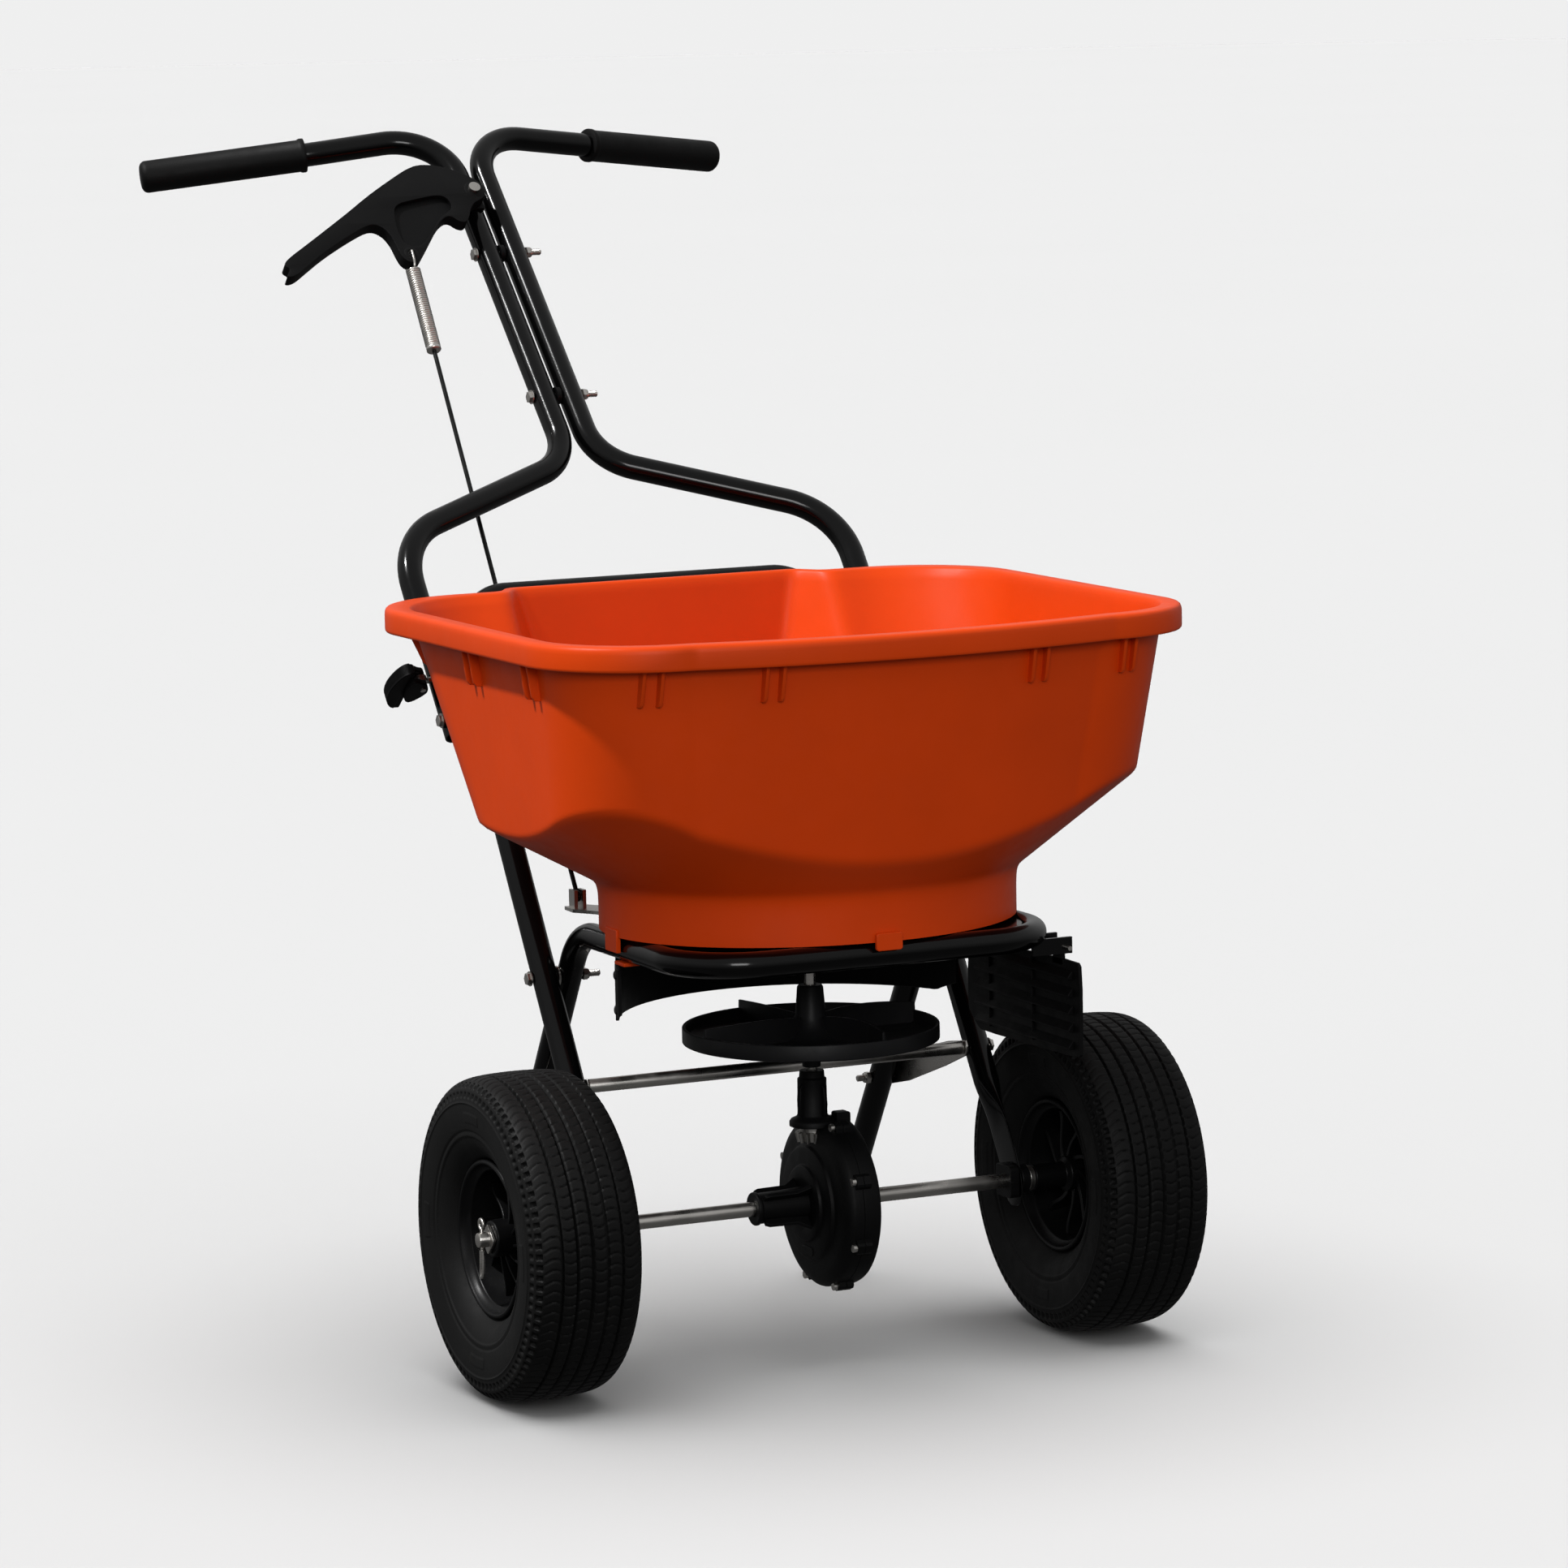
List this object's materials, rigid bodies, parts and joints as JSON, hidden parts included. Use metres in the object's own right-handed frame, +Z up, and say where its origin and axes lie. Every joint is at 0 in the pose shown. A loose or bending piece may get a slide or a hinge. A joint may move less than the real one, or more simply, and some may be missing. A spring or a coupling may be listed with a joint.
{
  "type": "garden_spreader",
  "caption": "Walk-behind broadcast spreader: open hopper on a black tube frame, two pneumatic wheels, geared impeller, folding T handle with a hand lever.",
  "frame": {"origin": "centre of the bounding box bottom, on the floor", "axes": "+X runs along the axle, +Y from the hopper front to the handle, +Z up. Names with left are on the -X side, which is the left when the spreader is seen from its front"},
  "size_m": [0.632, 1.0427, 1.038],
  "materials": {
    "hopper_orange": "semi-gloss moulded polyethylene, faint orange-peel",
    "frame_black": "gloss black powder coat over steel tube",
    "zinc": "bright zinc plating",
    "black_plastic": "fine-textured moulded nylon",
    "rim_plastic": "moulded black plastic, slightly shiny edges",
    "tyre_rubber": "ribbed black rubber with moulded sidewall",
    "grip_rubber": "soft black grip",
    "impeller_plastic": "dark grey moulded plastic",
    "foot_rubber": "black rubber foot",
    "gear_steel": "greased sintered steel"
  },
  "bodies": {
    "frame": {"hopper": "hopper_orange", "base_tube": "frame_black", "leg_left": "frame_black", "leg_right": "frame_black", "rear_bow": "frame_black", "handle_left": "frame_black", "handle_right": "frame_black", "base_plate": "frame_black", "deflector_brackets": "frame_black", "crossbar": "zinc", "strap_left": "zinc", "strap_right": "zinc", "handle_bolts": "zinc", "frame_bolts": "zinc", "frame_spacers": "zinc", "handle_spacers": "black_plastic", "fold_posts": "zinc", "fold_pins": "zinc", "lever_pin": "zinc", "deflector_pin": "zinc", "gearbox_screws": "zinc", "lever_clamp": "black_plastic", "gearbox_left": "black_plastic", "gearbox_right": "black_plastic", "bearing_left": "black_plastic", "bearing_right": "black_plastic", "rear_guard": "black_plastic", "grip_left": "grip_rubber", "grip_right": "grip_rubber", "stand_feet": "foot_rubber"},
    "drive_axle": {"axle": "zinc", "drive_key": "zinc", "hub_washers": "zinc", "linch_pins": "zinc", "tyre_left": "tyre_rubber", "rim_left": "rim_plastic", "drive_gear": "gear_steel"},
    "free_wheel": {"tyre_right": "tyre_rubber", "rim_right": "rim_plastic"},
    "impeller_unit": {"impeller_shaft": "zinc", "pinion": "gear_steel", "impeller": "impeller_plastic", "shaft_collar": "zinc", "agitator": "zinc"},
    "control_lever": {"control_lever": "black_plastic"},
    "shutter": {"shutter": "zinc"},
    "control_rod": {"control_rod": "frame_black", "spring": "zinc"},
    "deflector": {"deflector": "black_plastic"},
    "fold_lever_left": {"fold_lever_left": "black_plastic"},
    "fold_lever_right": {"fold_lever_right": "black_plastic"}
  },
  "joints": [
    {"name": "axle_spin", "type": "hinge", "parent": "frame", "child": "drive_axle", "pos_m": [0, -0.29335, 0.138], "axis": [1, 0, 0], "continuous": true},
    {"name": "free_wheel_spin", "type": "hinge", "parent": "frame", "child": "free_wheel", "pos_m": [0, -0.29335, 0.138], "axis": [1, 0, 0], "continuous": true},
    {"name": "impeller_spin", "type": "hinge", "parent": "frame", "child": "impeller_unit", "pos_m": [0, -0.29335, 0.279], "axis": [0, 0, 1], "continuous": true},
    {"name": "lever_swing", "type": "hinge", "parent": "frame", "child": "control_lever", "pos_m": [-0.016, 0.37248, 0.98041], "axis": [0, 0.7119, -0.7023], "range_deg": [0, 15.6]},
    {"name": "shutter_slide", "type": "slide", "parent": "frame", "child": "shutter", "axis": [0, 1, 0], "range_m": [0, 0.04]},
    {"name": "rod_swing", "type": "hinge", "parent": "shutter", "child": "control_rod", "pos_m": [-0.141, -0.12535, 0.393], "axis": [0.8565, -0.4258, 0.2918], "range_deg": [0, 3]},
    {"name": "deflector_swing", "type": "hinge", "parent": "frame", "child": "deflector", "pos_m": [0.1845, -0.32835, 0.359], "axis": [0, -1, 0], "range_deg": [0, 60]},
    {"name": "fold_lever_left_swing", "type": "hinge", "parent": "frame", "child": "fold_lever_left", "pos_m": [-0.236, -0.01185, 0.576], "axis": [0, 0.6059, 0.7955], "range_deg": [0, 60]},
    {"name": "fold_lever_right_swing", "type": "hinge", "parent": "frame", "child": "fold_lever_right", "pos_m": [0.236, -0.01185, 0.576], "axis": [0, -0.6059, -0.7955], "range_deg": [0, 60]}
  ],
  "couplings": [
    {"joint": "impeller_spin", "follows": "axle_spin", "ratio": -4.5},
    {"joint": "shutter_slide", "follows": "lever_swing", "m_per_rad": 0.14655},
    {"joint": "rod_swing", "follows": "lever_swing", "ratio": 0.17576}
  ]
}
